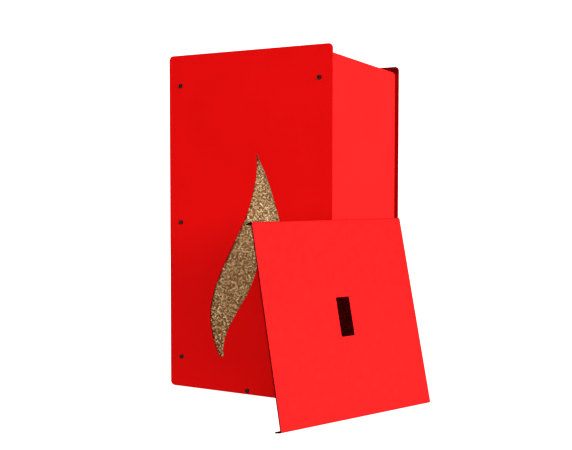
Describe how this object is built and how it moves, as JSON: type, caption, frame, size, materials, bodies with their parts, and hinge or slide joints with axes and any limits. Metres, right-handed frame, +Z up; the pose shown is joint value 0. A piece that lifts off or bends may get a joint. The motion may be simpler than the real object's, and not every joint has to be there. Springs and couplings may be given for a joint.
{
  "type": "pellet storage box",
  "caption": "Tall open-topped sheet steel box for wood pellets, with a flame-shaped window, screwed front and back plates, and a lift-off lid with a hand slot leaning on it.",
  "frame": {"origin": "middle of the floor panel's underside, which is on the ground the box stands on", "axes": "+Z up; -Y out of the front plate with the flame window; +X to the right as seen from the front, the side the lid leans on"},
  "size_m": [0.5859, 0.6388, 0.75],
  "materials": {
    "red_powder_coat": "satin powder coat on steel sheet",
    "black_screw": "black oxide steel, button head",
    "zinc_steel": "bright zinc plate",
    "clear_pane": "clear, polished on both faces"
  },
  "bodies": {
    "box": {"front_plate": "red_powder_coat", "back_plate": "red_powder_coat", "left_wall": "red_powder_coat", "right_wall": "red_powder_coat", "floor_panel": "red_powder_coat", "window_pane": "clear_pane", "front_screw_left_top": "black_screw", "front_screw_left_middle": "black_screw", "front_screw_left_low": "black_screw", "front_screw_right_top": "black_screw", "front_screw_right_middle": "black_screw", "front_screw_right_low": "black_screw", "front_screw_bottom": "black_screw", "front_nut_left_top": "zinc_steel", "front_nut_left_middle": "zinc_steel", "front_nut_left_low": "zinc_steel", "front_nut_right_top": "zinc_steel", "front_nut_right_middle": "zinc_steel", "front_nut_right_low": "zinc_steel", "front_nut_bottom": "zinc_steel", "back_screw_left_top": "black_screw", "back_screw_left_middle": "black_screw", "back_screw_left_low": "black_screw", "back_screw_right_top": "black_screw", "back_screw_right_middle": "black_screw", "back_screw_right_low": "black_screw", "back_screw_bottom": "black_screw", "back_nut_left_top": "zinc_steel", "back_nut_left_middle": "zinc_steel", "back_nut_left_low": "zinc_steel", "back_nut_right_top": "zinc_steel", "back_nut_right_middle": "zinc_steel", "back_nut_right_low": "zinc_steel", "back_nut_bottom": "zinc_steel", "pane_stud_1": "zinc_steel", "pane_stud_2": "zinc_steel", "pane_stud_3": "zinc_steel", "pane_stud_4": "zinc_steel", "pane_stud_5": "zinc_steel", "pane_stud_6": "zinc_steel", "pane_washer_1": "zinc_steel", "pane_washer_2": "zinc_steel", "pane_washer_3": "zinc_steel", "pane_washer_4": "zinc_steel", "pane_washer_5": "zinc_steel", "pane_washer_6": "zinc_steel", "pane_nut_1": "zinc_steel", "pane_nut_2": "zinc_steel", "pane_nut_3": "zinc_steel", "pane_nut_4": "zinc_steel", "pane_nut_5": "zinc_steel", "pane_nut_6": "zinc_steel"},
    "lid": {"lid": "red_powder_coat"}
  },
  "joints": [
    {"name": "lid_lift", "type": "slide", "parent": "box", "child": "lid", "axis": [0, 0, 1], "range_m": [0, 0.77]}
  ]
}
